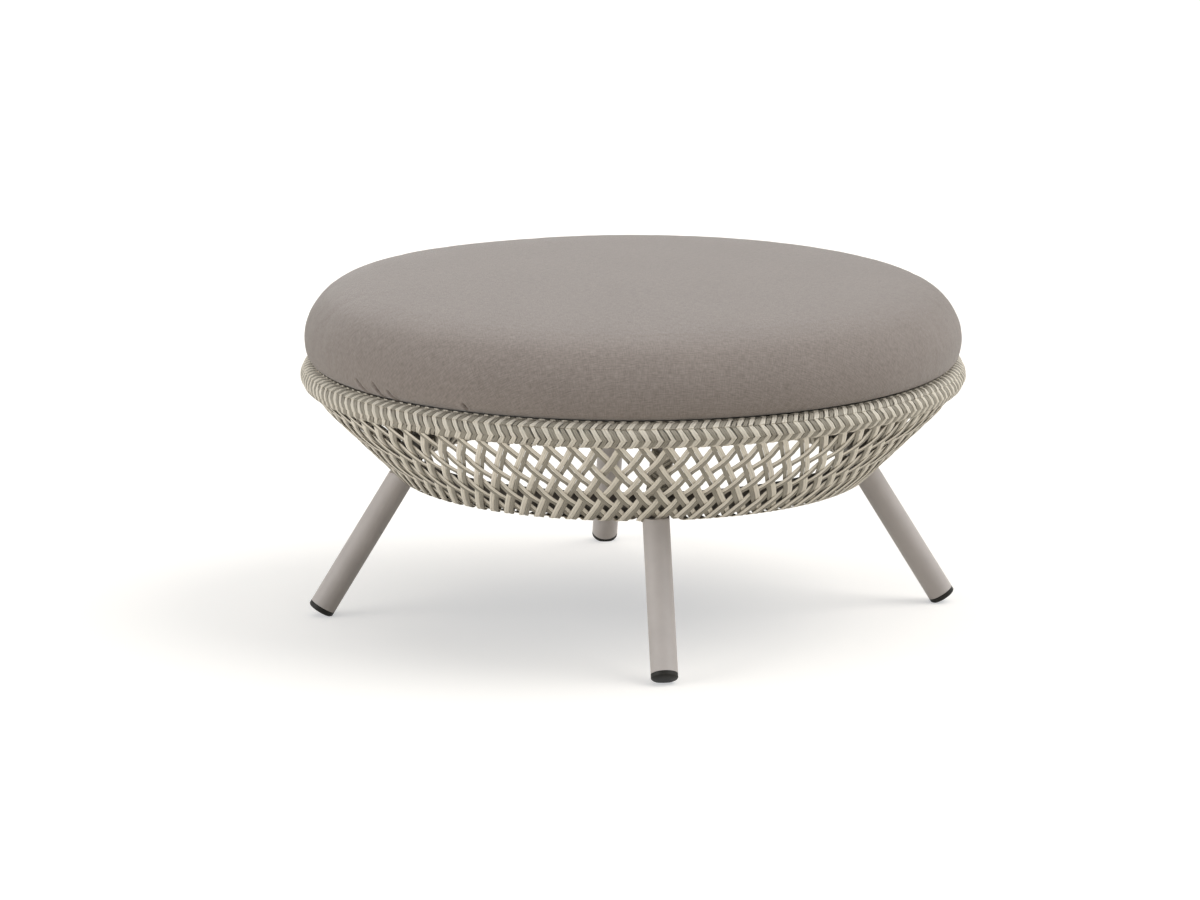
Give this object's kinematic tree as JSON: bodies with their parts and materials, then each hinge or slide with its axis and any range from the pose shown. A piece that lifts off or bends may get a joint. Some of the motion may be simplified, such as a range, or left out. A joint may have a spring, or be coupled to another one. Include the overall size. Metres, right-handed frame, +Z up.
{
  "type": "outdoor ottoman footstool",
  "caption": "Round outdoor ottoman: open woven basket on splayed tube legs, with a thick loose round cushion",
  "frame": {"origin": "on the floor under the centre of the ottoman", "axes": "+Z up; the legs stand along +X, +Y, -X and -Y; the picture looks mostly along +Y"},
  "size_m": [0.8792, 0.8792, 0.4633],
  "materials": {
    "coated_tube": "taupe powder coat, satin",
    "braid_fibre": "flat synthetic fibre, light and grey-taupe strips, matte",
    "strand_fibre": "flat synthetic fibre, light and grey-taupe strips, matte",
    "wrap_fibre": "wound flat synthetic fibre, matte",
    "black_plastic": "moulded, satin black",
    "webbing": "woven elastic strap",
    "cushion_fabric": "fine woven outdoor fabric, taupe grey"
  },
  "bodies": {
    "frame": {"rim_tube": "coated_tube", "rim_braid": "braid_fibre", "wall_strand_1": "strand_fibre", "wall_strand_2": "strand_fibre", "base_ring": "coated_tube", "rib_tube_right": "coated_tube", "rib_wrap_right": "wrap_fibre", "leg_tube_right": "coated_tube", "leg_plug_right": "black_plastic", "rib_tube_back": "coated_tube", "rib_wrap_back": "wrap_fibre", "leg_tube_back": "coated_tube", "leg_plug_back": "black_plastic", "rib_tube_left": "coated_tube", "rib_wrap_left": "wrap_fibre", "leg_tube_left": "coated_tube", "leg_plug_left": "black_plastic", "rib_tube_front": "coated_tube", "rib_wrap_front": "wrap_fibre", "leg_tube_front": "coated_tube", "leg_plug_front": "black_plastic", "deck_hoop": "coated_tube", "deck_strap_x_1": "webbing", "deck_rivet_x_1_start": "coated_tube", "deck_rivet_x_1_end": "coated_tube", "deck_strap_y_1": "webbing", "deck_rivet_y_1_start": "coated_tube", "deck_rivet_y_1_end": "coated_tube", "deck_strap_x_2": "webbing", "deck_rivet_x_2_start": "coated_tube", "deck_rivet_x_2_end": "coated_tube", "deck_strap_y_2": "webbing", "deck_rivet_y_2_start": "coated_tube", "deck_rivet_y_2_end": "coated_tube", "deck_strap_x_3": "webbing", "deck_rivet_x_3_start": "coated_tube", "deck_rivet_x_3_end": "coated_tube", "deck_strap_y_3": "webbing", "deck_rivet_y_3_start": "coated_tube", "deck_rivet_y_3_end": "coated_tube", "deck_strap_x_4": "webbing", "deck_rivet_x_4_start": "coated_tube", "deck_rivet_x_4_end": "coated_tube", "deck_strap_y_4": "webbing", "deck_rivet_y_4_start": "coated_tube", "deck_rivet_y_4_end": "coated_tube"},
    "cushion": {"seat_cushion": "cushion_fabric"}
  },
  "joints": [
    {"name": "cushion_lift", "type": "slide", "parent": "frame", "child": "cushion", "axis": [0, 0, 1], "range_m": [0, 0.3]}
  ]
}
